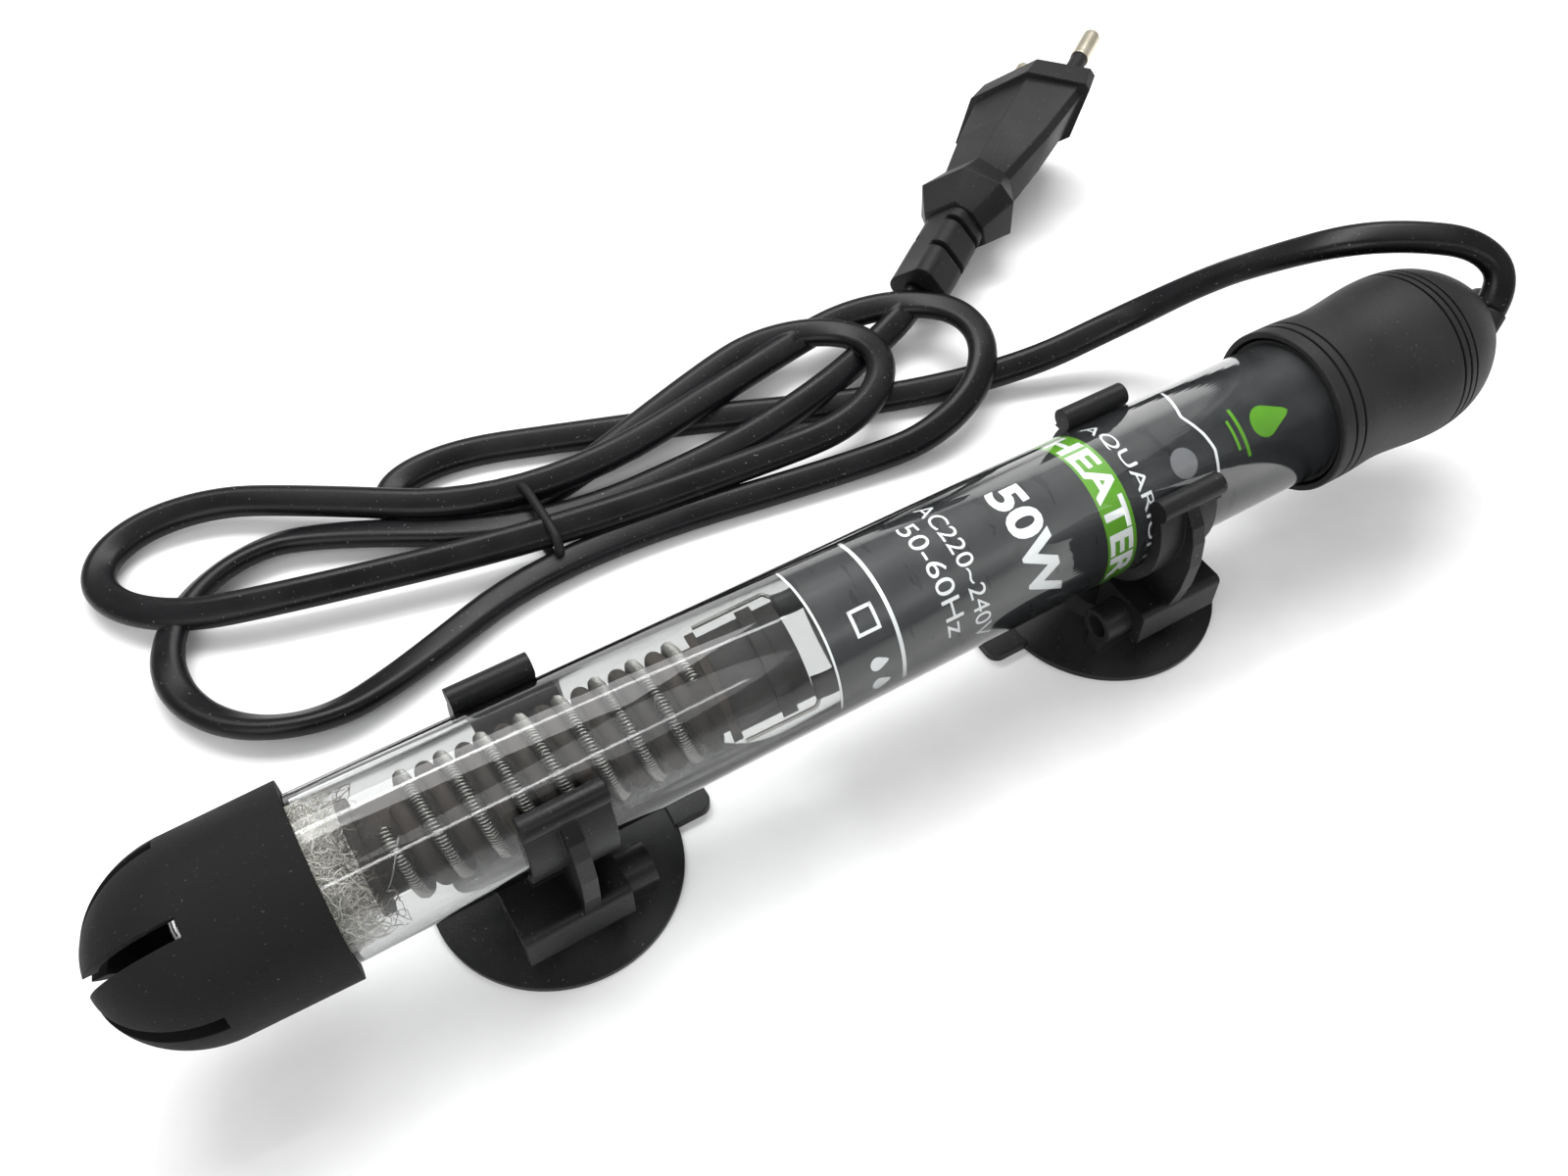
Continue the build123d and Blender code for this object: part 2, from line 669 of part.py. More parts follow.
def turn_band(turn):
    """Band along one turn, closed at the tie and open inside its loop."""
    x, y, half_length, half_width, heading = turn
    ahead = Vector(1, 0).rotate(Axis.Z, heading)
    across = Vector(0, 1).rotate(Axis.Z, heading)
    pinch = Vector(TIE_X, TIE_Y)
    pinch_half = TIE_SPAN / 2 - TIE_T

    def round_end(grow):
        corners = []
        for step in range(TURN_STEPS):
            angle = math.radians(TURN_SWEEP * (1 - 2 * step / (TURN_STEPS - 1)))
            forward = ahead * ((half_length + grow) * math.cos(angle))
            sideways = across * ((half_width + grow) * math.sin(angle))
            corners.append(Vector(x, y) + forward + sideways)
        return corners

    outer = [pinch + across * pinch_half, *round_end(CORD_BAND / 2), pinch - across * pinch_half]
    inner = [pinch + ahead * TURN_THROAT, *round_end(-CORD_BAND / 2)]
    outer_face, inner_face = (
        Polygon(*[(corner.X, corner.Y) for corner in corners], align=None)
        for corners in (outer, inner)
    )
    return outer_face - inner_face


turn_bands = [turn_band(turn) for turn in HANK_TURNS]
with BuildPart() as cord_hank:
    with BuildSketch():
        for band in turn_bands:
            add(band)
        with BuildLine():
            Polyline(*first_strand)
        trace(line_width=CORD_BAND)
    extrude(amount=HANK_H)
    with Locations((TIE_X, TIE_Y, TIE_T / 2), (TIE_X, TIE_Y, HANK_H - TIE_T / 2)):
        Box(TIE_W, TIE_SPAN, TIE_T, mode=Mode.SUBTRACT)
    add(cord_tie.part, mode=Mode.SUBTRACT)
save(cord_hank.part, "cord_hank")

with BuildPart() as cord_lead:
    add(free_run)
    add(cord_hank.part, mode=Mode.SUBTRACT)
save(cord_lead.part, "cord_lead")

# ---- mains plug, lying rolled onto one facet ----
plug_dir = PLUG_DIR.normalized()
flat_dir = plug_dir.cross(Vector(0, 0, 1)).normalized()
up_dir = flat_dir.cross(plug_dir)
roll = math.radians(PLUG_ROLL)
wide_dir = flat_dir * math.cos(roll) + up_dir * math.sin(roll)


def plug_plane(along):
    """Plane square to the plug's axis; X is across the two pins."""
    return Plane(origin=PLUG_ORIGIN + plug_dir * along, x_dir=wide_dir, z_dir=plug_dir)


def hexagon(half_wide, half_thick, shoulder, edge=0.9):
    corners = [
        (half_wide, edge), (shoulder, half_thick), (-shoulder, half_thick), (-half_wide, edge),
        (-half_wide, -edge), (-shoulder, -half_thick), (shoulder, -half_thick),
        (half_wide, -edge),
    ]
    return Polygon(*corners, align=None)


with BuildPart() as plug_body:
    with BuildSketch(plug_plane(0)):
        hexagon(17.6, 8.6, 7.7)
    with BuildSketch(plug_plane(6.2)):
        hexagon(16.6, 7.8, 7.2)
    loft()
    with BuildSketch(plug_plane(0)):
        hexagon(15.8, 7.4, 6.9)
    with BuildSketch(plug_plane(-13)):
        hexagon(12.6, 7.0, 5.8)
    loft()
    with BuildSketch(plug_plane(-13)):
        hexagon(12.6, 7.0, 5.8)
    with BuildSketch(plug_plane(-25)):
        hexagon(7.6, 6.2, 4.4)
    loft()
    with BuildSketch(plug_plane(-25)):
        hexagon(7.6, 6.2, 4.4)
    with BuildSketch(plug_plane(-32)):
        hexagon(10.6, 8.6, 5.6, 2.4)
    loft()
    with BuildSketch(plug_plane(-32)):
        hexagon(10.6, 8.6, 5.6, 2.4)
    with BuildSketch(plug_plane(-38.5)):
        hexagon(6.0, 5.6, 4.0, 2.0)
    loft()
save(plug_body.part, "plug_body")

RELIEF_START = -38.5
RELIEF_END = -58.0
with BuildPart() as plug_relief:
    with BuildSketch(plug_plane(RELIEF_START)):
        RectangleRounded(10.4, 9.4, 2.6)
    extrude(amount=RELIEF_END - RELIEF_START)
    for step, along in enumerate((-42.5, -46.5, -50.5)):
        flip = 1 if step % 2 == 0 else -1
        with BuildSketch(plug_plane(along)):
            with Locations((flip * 4.6, 0)):
                Rectangle(4.2, 11.0)
        extrude(amount=1.5, mode=Mode.SUBTRACT)
save(plug_relief.part, "plug_relief")

FACE = 6.2
pins = []
pin_sleeves = []
for side in (-1, 1):
    with BuildPart() as pin:
        with BuildSketch(plug_plane(FACE + PIN_LEN - PIN_BARE)):
            with Locations((side * PIN_SPACING / 2, 0)):
                Circle(PIN_R)
        extrude(amount=PIN_BARE)
        tip_face = pin.faces().sort_by(Axis(PLUG_ORIGIN, plug_dir))[-1]
        fillet(tip_face.edges(), 1.2)
    pins.append(pin.part)
    with BuildPart() as pin_sleeve:
        with BuildSketch(plug_plane(FACE)):
            with Locations((side * PIN_SPACING / 2, 0)):
                Circle(PIN_SLEEVE_R)
        extrude(amount=PIN_LEN - PIN_BARE)
    pin_sleeves.append(pin_sleeve.part)
save(Compound(children=pins), "plug_pins")
save(Compound(children=pin_sleeves), "pin_sleeves")

relief_tail = PLUG_ORIGIN + plug_dir * RELIEF_END
tail_down = relief_tail - plug_dir * 3.0
plug_lead_points = [
    (relief_tail.X, relief_tail.Y, relief_tail.Z),
    (tail_down.X, tail_down.Y, tail_down.Z),
    (46, 69.6, 7.2),
]
with BuildPart() as cord_plug_lead:
    add(cord_run(plug_lead_points))
    add(cord_hank.part, mode=Mode.SUBTRACT)
save(cord_plug_lead.part, "cord_plug_lead")
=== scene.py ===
import json
import math

import bmesh
import bpy
import numpy as np
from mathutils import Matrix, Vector


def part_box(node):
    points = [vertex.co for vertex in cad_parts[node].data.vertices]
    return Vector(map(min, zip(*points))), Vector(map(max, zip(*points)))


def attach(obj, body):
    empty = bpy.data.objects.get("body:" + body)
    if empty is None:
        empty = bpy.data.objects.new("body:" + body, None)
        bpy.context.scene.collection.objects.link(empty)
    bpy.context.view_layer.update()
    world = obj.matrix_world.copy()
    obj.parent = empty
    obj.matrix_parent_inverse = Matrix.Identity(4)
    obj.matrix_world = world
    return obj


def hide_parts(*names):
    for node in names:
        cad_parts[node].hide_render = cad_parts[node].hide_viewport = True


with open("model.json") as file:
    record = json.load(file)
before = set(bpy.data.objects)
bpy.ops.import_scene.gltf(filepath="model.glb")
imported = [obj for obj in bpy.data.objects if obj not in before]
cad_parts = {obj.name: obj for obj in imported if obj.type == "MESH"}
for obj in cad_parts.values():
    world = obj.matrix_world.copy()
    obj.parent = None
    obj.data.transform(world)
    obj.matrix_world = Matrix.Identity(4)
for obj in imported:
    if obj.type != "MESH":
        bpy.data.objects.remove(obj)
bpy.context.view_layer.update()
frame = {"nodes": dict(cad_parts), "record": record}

MM = 0.001
ROOT = "heater"
scene = bpy.context.scene
scene.view_settings.view_transform = "Standard"
rng = np.random.default_rng(7)

# ---- places and radii taken from the frame ----
glass_lo, glass_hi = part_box("glass_tube")
label_lo, label_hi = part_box("label_sleeve")
coil_lo, coil_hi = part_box("heating_coil")
core_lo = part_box("heater_core")[0]
axis_z = (glass_lo.z + glass_hi.z) / 2
glass_r = (glass_hi.z - glass_lo.z) / 2
label_r = (label_hi.z - label_lo.z) / 2

# ---- camera: place, angle and lens fitted to the photograph ----
camera_data = bpy.data.cameras.new("camera")
camera_data.lens = 32.0
camera_data.sensor_width = 36.0
camera = bpy.data.objects.new("camera", camera_data)
camera.location = (-0.0834, -0.0988, 0.1824)
camera.rotation_euler = (0.6825, 0.0, -0.5432)
scene.collection.objects.link(camera)
scene.camera = camera


# ---- mesh helpers ----
def new_object(name, verts, faces, material, smooth=True):
    mesh = bpy.data.meshes.new(name)
    mesh.from_pydata([tuple(v) for v in verts], [], faces)
    mesh.materials.append(material)
    mesh.polygons.foreach_set("use_smooth", [smooth] * len(mesh.polygons))
    mesh.update()
    obj = bpy.data.objects.new(name, mesh)
    scene.collection.objects.link(obj)
    return obj


def loft(rings, closed=False):
    """Quads between equal rings of points, with flat caps on the ends of an open one."""
    count = len(rings[0])
    verts = [p for ring in rings for p in ring]
    faces = []
    spans = len(rings) if closed else len(rings) - 1
    for i in range(spans):
        a, b = i * count, ((i + 1) % len(rings)) * count
        for j in range(count):
            k = (j + 1) % count
            faces.append((a + j, a + k, b + k, b + j))
    if not closed:
        faces.append(tuple(range(count - 1, -1, -1)))
        last = (len(rings) - 1) * count
        faces.append(tuple(range(last, last + count)))
    return verts, faces


def join(parts):
    """One mesh's points and faces from several."""
    verts, faces = [], []
    for part_verts, part_faces in parts:
        base = len(verts)
        verts += part_verts
        faces += [tuple(base + i for i in face) for face in part_faces]
    return verts, faces


TURNED_STEPS = 128
WELD = 1e-7              # metres within which two points become one


def turned(name, outline, material):
    """Closed (x, radius) outline turned about the tube axis."""
    rings = []
    for step in range(TURNED_STEPS):
        turn = 2 * math.pi * step / TURNED_STEPS
        rings.append([(x, -r * math.sin(turn), axis_z + r * math.cos(turn)) for x, r in outline])
    verts, faces = loft(rings, closed=True)
    obj = new_object(name, verts, faces, material)
    bm = bmesh.new()
    bm.from_mesh(obj.data)
    bmesh.ops.remove_doubles(bm, verts=bm.verts, dist=WELD)
    bmesh.ops.recalc_face_normals(bm, faces=bm.faces)
    bm.to_mesh(obj.data)
    bm.free()
    return obj


def unit_tangents(pts):
    tangent = np.gradient(pts, axis=0)
    return tangent / np.linalg.norm(tangent, axis=1)[:, None]


SMOOTH_REACH = 4         # neighbours each side that a path's sideways vector is averaged over
SHORTEST = 1e-6          # keeps a vertical stretch from dividing by nothing


def path_frames(points):
    """Points, sideways and upward unit vectors along a path; sideways stays close to level."""
    pts = np.array(points)
    tangent = unit_tangents(pts)
    side = np.cross(tangent, (0, 0, 1))
    side /= np.maximum(np.linalg.norm(side, axis=1), SHORTEST)[:, None]
    window = 2 * SMOOTH_REACH + 1
    kernel = np.ones(window) / window
    padded = np.pad(side, ((SMOOTH_REACH, SMOOTH_REACH), (0, 0)), mode="edge")
    side = np.stack([np.convolve(padded[:, k], kernel, mode="valid") for k in range(3)], axis=1)
    side -= tangent * np.sum(side * tangent, axis=1)[:, None]
    side /= np.linalg.norm(side, axis=1)[:, None]
    up = np.cross(side, tangent)
    return pts, side, up


ODD_DIRECTION = (0.3, 0.5, 0.81)    # along no path's first step, so a normal can start from it


def round_tube(points, radius, sides):
    """Rings of a round tube along a path, carried without twist."""
    pts = np.array(points)
    tangent = unit_tangents(pts)
    normal = np.cross(tangent[0], ODD_DIRECTION)
    normal /= np.linalg.norm(normal)
    rings = []
    for p, t in zip(pts, tangent):
        normal = normal - t * np.dot(normal, t)
        normal /= np.linalg.norm(normal)
        other = np.cross(t, normal)
        turns = [2 * math.pi * k / sides for k in range(sides)]
        rings.append([p + radius * (math.cos(a) * normal + math.sin(a) * other) for a in turns])
    return rings


# ---- cord: its route in mm from the heater to the plug, then one flat tube along it ----
CORD_W = 5.6
CORD_T = 3.4
TIE_X = -37.0
TIE_Y = 58.8
LOW = 2.5                # heights of the two layers of cord inside the tie
HIGH = 5.8
FREE_RUN = [
    # out of the gland
    (111.3, -3.4, 31.2), (115.5, -2.0, 35.0),
    # over the handle cap
    (113, 4, 39.5), (105, 10.5, 40), (96, 16.5, 39),
    # down behind it and onto the table
    (90, 25, 32), (86, 34, 23), (77, 44, 10), (57, 48, 4),
    # along the table, under the turns
    (30, 56, 2.3), (0, 69, 2.3), (-25, 78, 2.3),
    # first bend, left of the tie
    (-42, 84, 2.3), (-55, 83, 2.3), (-58, 76, 2.3), (-52, 70, 2.3),
]
# Turns in the order they were wound: middle of the far end, half length, half width,
# heading, and the heights going out, round the end and coming back
HANK_TURNS = [
    (15, 64, 20, 14, 0, (5.4, 8.0, 5.6)),
    (-86, 80, 21, 13, 155, (5.4, 2.4, 4.4)),
    (31, 59, 23, 17, 0, (5.4, 10.0, 2.4)),
    (-79, 60, 22, 20, 180, (2.7, 2.8, 2.7)),
]
# Passes through the tie between them: distance from its middle, layer
TIE_PASSES = [(5.0, LOW), (-4.5, HIGH), (2.5, HIGH), (-6.0, LOW), (-0.5, LOW)]
PLUG_RUN = [
    (0, 58.5, 3.0), (20, 61, 5.0), (37, 67, 5.0), (46, 69.6, 7.2), (50.7, 72.8, 8.0),
]
TURN_SWEEP = 110.0       # a turn's end is round this far each side of its heading
TURN_STEPS = 8           # points round a turn's end
FRONT_LEAN = 28.0        # degrees that the flat faces lean to the front
EDGE_LEAN = 50.0         # degrees the other way, where the last turn stands half on edge
EDGE_SPAN = 4.0          # points each side of that turn's middle that do so
LINE_SAMPLES = 10        # samples from one point of the route to the next
EDGE_STEPS = 7           # points round each edge of the cord's section
CORE_VALLEY = 0.12       # depth of the valley between its two cores


def turn_points(x, y, half_length, half_width, heading, heights):
    """Points round the far end of one turn of the hank."""
    ahead = math.radians(heading)
    points = []
    for step in range(TURN_STEPS):
        share = step / (TURN_STEPS - 1)
        angle = math.radians(TURN_SWEEP * (1 - 2 * share))
        forward = half_length * math.cos(angle)
        sideways = half_width * math.sin(angle)
        points.append((x + forward * math.cos(ahead) - sideways * math.sin(ahead),
                       y + forward * math.sin(ahead) + sideways * math.cos(ahead),
                       float(np.interp(share, (0, 0.5, 1), heights))))
    return points


def cord_route():
    route = list(FREE_RUN)
    for (offset, layer), turn in zip(TIE_PASSES, HANK_TURNS):
        route.append((TIE_X, TIE_Y + offset, layer))
        route += turn_points(*turn)
    last_offset, last_layer = TIE_PASSES[-1]
    route.append((TIE_X, TIE_Y + last_offset, last_layer))
    return route + PLUG_RUN


def spline_samples(points, resolution):
    """Points along the smooth open curve that these points lead."""
    data = bpy.data.curves.new("cord_line", "CURVE")
    data.dimensions = "3D"
    spline = data.splines.new("NURBS")
    spline.points.add(len(points) - 1)
    for target, (x, y, z) in zip(spline.points, points):
        target.co = (x * MM, y * MM, z * MM, 1)
    spline.order_u = 3
    spline.use_endpoint_u = True
    spline.resolution_u = resolution
    holder = bpy.data.objects.new("cord_line", data)
    scene.collection.objects.link(holder)
    mesh = bpy.data.meshes.new_from_object(holder)
    samples = [tuple(v.co) for v in mesh.vertices]
    bpy.data.meshes.remove(mesh)
    bpy.data.objects.remove(holder)
    bpy.data.curves.remove(data)
    return samples


def flat_section():
    """Outline of the flat cord: two round edges and a faint valley between its cores."""
    half_flat = (CORD_W - CORD_T) / 2
    outline = []
    for side in (1, -1):
        for k in range(EDGE_STEPS):
            angle = math.pi * (k / (EDGE_STEPS - 1) - 0.5)
            outline.append((side * (half_flat + CORD_T / 2 * math.cos(angle)),
                            side * CORD_T / 2 * math.sin(angle)))
        outline.append((0.0, side * (CORD_T / 2 - CORE_VALLEY)))
    return [(across * MM, up * MM) for across, up in outline]


def make_cord(material):
    route = cord_route()
    samples = spline_samples(route, LINE_SAMPLES)
    pts, side, up = path_frames(samples)
    along = np.linspace(0, len(route) - 1, len(pts))
    last_turn = len(route) - len(PLUG_RUN) - 1 - TURN_STEPS / 2
    on_edge = np.exp(-((along - last_turn) / EDGE_SPAN) ** 4)
    lean = np.radians(FRONT_LEAN - (FRONT_LEAN + EDGE_LEAN) * on_edge) * side[:, 1]
    section = flat_section()
    rings = []
    for p, s, u, a in zip(pts, side, up, lean):
        across = s * math.cos(a) + u * math.sin(a)
        thick = u * math.cos(a) - s * math.sin(a)
        rings.append([p + across * w + thick * t for w, t in section])
    return new_object("cord", *loft(rings), material), samples


# ---- procedural materials ----
MIX_FACTOR = 0           # sockets of a Mix node that mixes colours
MIX_FIRST = 6
MIX_SECOND = 7
MIX_RESULT = 2
MOTTLE_SCALE = 90        # noise scales, per metre
DUST_SCALE = 2200
DUST_FROM = (0.73, 0.78)             # only the peaks of that noise carry dust
DUST_COLOUR = (0.55, 0.55, 0.53, 1)
BUMP_HEIGHT = 0.2 * MM
METAL_SHINE = 0.5


def material_base(name):
    material = bpy.data.materials.new(name)
    material.use_nodes = True
    nodes, links = material.node_tree.nodes, material.node_tree.links
    return material, nodes, links, nodes["Principled BSDF"]


def noise(nodes, links, scale, detail=4.0, stretch=(1, 1, 1)):
    """Noise in the object's own metres; stretch squeezes it along an axis."""
    place = nodes.new("ShaderNodeTexCoord")
    mapping = nodes.new("ShaderNodeMapping")
    mapping.inputs["Scale"].default_value = stretch
    texture = nodes.new("ShaderNodeTexNoise")
    texture.inputs["Scale"].default_value = scale
    texture.inputs["Detail"].default_value = detail
    links.new(place.outputs["Object"], mapping.inputs["Vector"])
    links.new(mapping.outputs["Vector"], texture.inputs["Vector"])
    return texture.outputs["Fac"]


def spread(nodes, links, value, low, high, from_low=0.3, from_high=0.7):
    """A value's range stretched to another; noise lies mostly between 0.3 and 0.7."""
    ranged = nodes.new("ShaderNodeMapRange")
    ranged.inputs["From Min"].default_value = from_low
    ranged.inputs["From Max"].default_value = from_high
    ranged.inputs["To Min"].default_value = low
    ranged.inputs["To Max"].default_value = high
    links.new(value, ranged.inputs["Value"])
    return ranged.outputs["Result"]


def colour_mix(nodes, links, factor):
    mix = nodes.new("ShaderNodeMix")
    mix.data_type = "RGBA"
    links.new(factor, mix.inputs[MIX_FACTOR])
    return mix


def two_tone(nodes, links, factor, first, second):
    mix = colour_mix(nodes, links, factor)
    mix.inputs[MIX_FIRST].default_value = (*first, 1)
    mix.inputs[MIX_SECOND].default_value = (*second, 1)
    return mix.outputs[MIX_RESULT]


def math_node(nodes, links, operation, first, second):
    node = nodes.new("ShaderNodeMath")
    node.operation = operation
    links.new(first, node.inputs[0])
    links.new(second, node.inputs[1])
    return node.outputs[0]


def surface(name, dark, light, rough, grain=3000, bump=0.15, metal=0.0, dust=0.0,
            edge=0.3 * MM, shine=0.22):
    """Grainy surface: mottled colour, uneven roughness, fine bump, soft edges and dust."""
    material, nodes, links, shader = material_base(name)
    broad = noise(nodes, links, MOTTLE_SCALE)
    fine = noise(nodes, links, grain)
    colour = two_tone(nodes, links, spread(nodes, links, broad, 0, 1), dark, light)
    if dust:
        specks = noise(nodes, links, DUST_SCALE, detail=1.0)
        mix = colour_mix(nodes, links, spread(nodes, links, specks, 0, dust, *DUST_FROM))
        mix.inputs[MIX_SECOND].default_value = DUST_COLOUR
        links.new(colour, mix.inputs[MIX_FIRST])
        colour = mix.outputs[MIX_RESULT]
    links.new(colour, shader.inputs["Base Color"])
    links.new(spread(nodes, links, broad, *rough), shader.inputs["Roughness"])
    shader.inputs["Metallic"].default_value = metal
    shader.inputs["Specular IOR Level"].default_value = METAL_SHINE if metal else shine
    bevel = nodes.new("ShaderNodeBevel")
    bevel.inputs["Radius"].default_value = edge
    relief = nodes.new("ShaderNodeBump")
    relief.inputs["Strength"].default_value = bump
    relief.inputs["Distance"].default_value = BUMP_HEIGHT
    links.new(fine, relief.inputs["Height"])
    links.new(bevel.outputs["Normal"], relief.inputs["Normal"])
    links.new(relief.outputs["Normal"], shader.inputs["Normal"])
    return material


def glass_material(name):
    """Clear glass that lets light through to what is inside it, with faint wipe marks."""
    material, nodes, links, shader = material_base(name)
    shader.inputs["Base Color"].default_value = (0.79, 0.8, 0.795, 1)
    shader.inputs["Transmission Weight"].default_value = 1.0
    shader.inputs["IOR"].default_value = 1.47
    wipes = noise(nodes, links, 300, stretch=(0.15, 1, 1))
    links.new(spread(nodes, links, wipes, 0.01, 0.06), shader.inputs["Roughness"])
    clear = nodes.new("ShaderNodeBsdfTransparent")
    clear.inputs["Color"].default_value = (0.95, 0.96, 0.96, 1)
    rays = nodes.new("ShaderNodeLightPath")
    mix = nodes.new("ShaderNodeMixShader")
    links.new(rays.outputs["Is Shadow Ray"], mix.inputs[0])
    links.new(shader.outputs[0], mix.inputs[1])
    links.new(clear.outputs[0], mix.inputs[2])
    links.new(mix.outputs[0], nodes["Material Output"].inputs["Surface"])
    return material


def label_material(name):
    """Dark grey print outside, paler grey film inside, told apart by distance from the axis."""
    material, nodes, links, shader = material_base(name)
    place = nodes.new("ShaderNodeTexCoord")
    centre = nodes.new("ShaderNodeVectorMath")
    centre.operation = "SUBTRACT"
    centre.inputs[1].default_value = (0, 0, axis_z)
    flat = nodes.new("ShaderNodeVectorMath")
    flat.operation = "MULTIPLY"
    flat.inputs[1].default_value = (0, 1, 1)
    length = nodes.new("ShaderNodeVectorMath")
    length.operation = "LENGTH"
    links.new(place.outputs["Object"], centre.inputs[0])
    links.new(centre.outputs[0], flat.inputs[0])
    links.new(flat.outputs[0], length.inputs[0])
    outside = spread(nodes, links, length.outputs["Value"], 0, 1,
                     label_r - 0.15 * MM, label_r - 0.1 * MM)
    film_grey = (0.17, 0.17, 0.17)
    print_grey = (0.022, 0.023, 0.025)
    links.new(two_tone(nodes, links, outside, film_grey, print_grey), shader.inputs["Base Color"])
    sheen = noise(nodes, links, 400, stretch=(1, 0.3, 0.3))
    links.new(spread(nodes, links, sheen, 0.25, 0.42), shader.inputs["Roughness"])
    return material


def wool_material(name):
    """White fibre, scorched brown next to the element, and brown in patches that grow towards its
    underside.
    """
    material, nodes, links, shader = material_base(name)
    place = nodes.new("ShaderNodeTexCoord")
    split = nodes.new("ShaderNodeSeparateXYZ")
    links.new(place.outputs["Object"], split.inputs[0])
    by_element = spread(nodes, links, split.outputs["X"], 0, 1,
                        core_lo.x - 3.5 * MM, core_lo.x + 1.5 * MM)
    # brown patches that grow towards the bottom of the fibre
    underside = spread(nodes, links, split.outputs["Z"], 1, 0, axis_z - 6 * MM, axis_z + 4 * MM)
    patches = spread(nodes, links, noise(nodes, links, 260), 0, 1, 0.42, 0.58)
    low_patches = math_node(nodes, links, "MULTIPLY", underside, patches)
    brown_share = math_node(nodes, links, "MAXIMUM", by_element, low_patches)
    wool_white = (0.7, 0.68, 0.62)
    wool_brown = (0.07, 0.045, 0.03)
    links.new(two_tone(nodes, links, brown_share, wool_white, wool_brown), shader.inputs["Base Color"])
    shader.inputs["Roughness"].default_value = 0.95
    return material


BLACK = (0.004, 0.004, 0.0045)
SOOT = (0.009, 0.009, 0.0095)
# what each slot's surface is given: two colours, a range of roughness and what else differs
LOOKS = {
    "guard_rubber": dict(dark=(0.004, 0.004, 0.004), light=(0.01, 0.01, 0.01), rough=(0.55, 0.8),
                         grain=2600, bump=0.35, dust=0.07, shine=0.15),
    "cap_rubber": dict(dark=(0.009, 0.009, 0.0095), light=(0.017, 0.017, 0.018), rough=(0.42, 0.6),
                       grain=3200, bump=0.3, dust=0.06),
    "gland_rubber": dict(dark=BLACK, light=SOOT, rough=(0.4, 0.6), bump=0.25),
    "knob_plastic": dict(dark=BLACK, light=SOOT, rough=(0.35, 0.5)),
    "seal_rubber": dict(dark=BLACK, light=SOOT, rough=(0.4, 0.6)),
    "former_ceramic": dict(dark=(0.012, 0.01, 0.009), light=(0.034, 0.027, 0.022),
                           rough=(0.6, 0.85), grain=2400, bump=0.5),
    "collar_plastic": dict(dark=(0.008, 0.008, 0.007), light=(0.018, 0.017, 0.016),
                           rough=(0.4, 0.6), bump=0.3),
    "resistance_wire": dict(dark=(0.2, 0.2, 0.19), light=(0.36, 0.35, 0.33), rough=(0.22, 0.4),
                            metal=1.0, edge=0.03 * MM),
    "sleeve": dict(dark=(0.016, 0.016, 0.016), light=(0.035, 0.035, 0.035), rough=(0.5, 0.7),
                   bump=0.4),
    "brass": dict(dark=(0.6, 0.42, 0.18), light=(0.78, 0.58, 0.28), rough=(0.25, 0.4), metal=1.0),
    "bimetal": dict(dark=(0.5, 0.47, 0.42), light=(0.65, 0.62, 0.56), rough=(0.25, 0.4),
                    metal=1.0),
    "carrier": dict(dark=(0.5, 0.48, 0.42), light=(0.62, 0.6, 0.54), rough=(0.4, 0.6)),
    "contact_silver": dict(dark=(0.7, 0.7, 0.7), light=(0.85, 0.85, 0.85), rough=(0.15, 0.3),
                           metal=1.0),
    "magnet_iron": dict(dark=(0.06, 0.06, 0.06), light=(0.12, 0.12, 0.12), rough=(0.35, 0.5),
                        metal=0.8),
    "lamp_glass": dict(dark=(0.55, 0.2, 0.1), light=(0.7, 0.3, 0.16), rough=(0.08, 0.2)),
    "resistor": dict(dark=(0.42, 0.3, 0.18), light=(0.52, 0.38, 0.24), rough=(0.4, 0.55)),
    "wire_insulation": dict(dark=(0.12, 0.2, 0.4), light=(0.16, 0.26, 0.48), rough=(0.4, 0.55)),
    "steel": dict(dark=(0.45, 0.45, 0.45), light=(0.62, 0.62, 0.62), rough=(0.2, 0.4), metal=1.0),
    "holder_plastic": dict(dark=BLACK, light=SOOT, rough=(0.32, 0.5), grain=2800, bump=0.25,
                           dust=0.12),
    "cup_rubber": dict(dark=BLACK, light=(0.014, 0.014, 0.015), rough=(0.28, 0.48), grain=2200,
                       bump=0.2, dust=0.12),
    "cord_pvc": dict(dark=(0.002, 0.002, 0.0025), light=(0.005, 0.005, 0.006), rough=(0.26, 0.38),
                     grain=3500, bump=0.12, dust=0.2, shine=0.2),
    "tie": dict(dark=BLACK, light=SOOT, rough=(0.45, 0.6), bump=0.3),
    "plug_pvc": dict(dark=(0.007, 0.007, 0.0075), light=(0.013, 0.013, 0.014), rough=(0.42, 0.6),
                     grain=3000, bump=0.3, dust=0.15, edge=0.6 * MM),
    "pin_metal": dict(dark=(0.58, 0.53, 0.4), light=(0.74, 0.69, 0.56), rough=(0.2, 0.38),
                      metal=1.0),
}
FINISH = {slot: surface(slot, **look) for slot, look in LOOKS.items()}
FINISH["glass"] = glass_material("glass")
FINISH["label_film"] = label_material("label_film")
FINISH["fibre"] = wool_material("fibre")
print_white = surface("print_white", (0.78, 0.79, 0.8), (0.86, 0.87, 0.88), (0.3, 0.4), bump=0.05)
print_green = surface("print_green", (0.1, 0.3, 0.02), (0.13, 0.36, 0.03), (0.3, 0.4), bump=0.05)
# painted shade: a glossy grey standing for the shaded hollow of the lamp window
window_painted_shade = surface("window_painted_shade", (0.1, 0.1, 0.11), (0.22, 0.22, 0.23), (0.1, 0.2), bump=0.05)

# CAD nodes take the finish of their slot in the record
for part in frame["record"]["subparts"]:
    node = frame["nodes"].get(part["node"])
    if node is not None and part["material_slot"] in FINISH:
        node.data.materials.clear()
        node.data.materials.append(FINISH[part["material_slot"]])


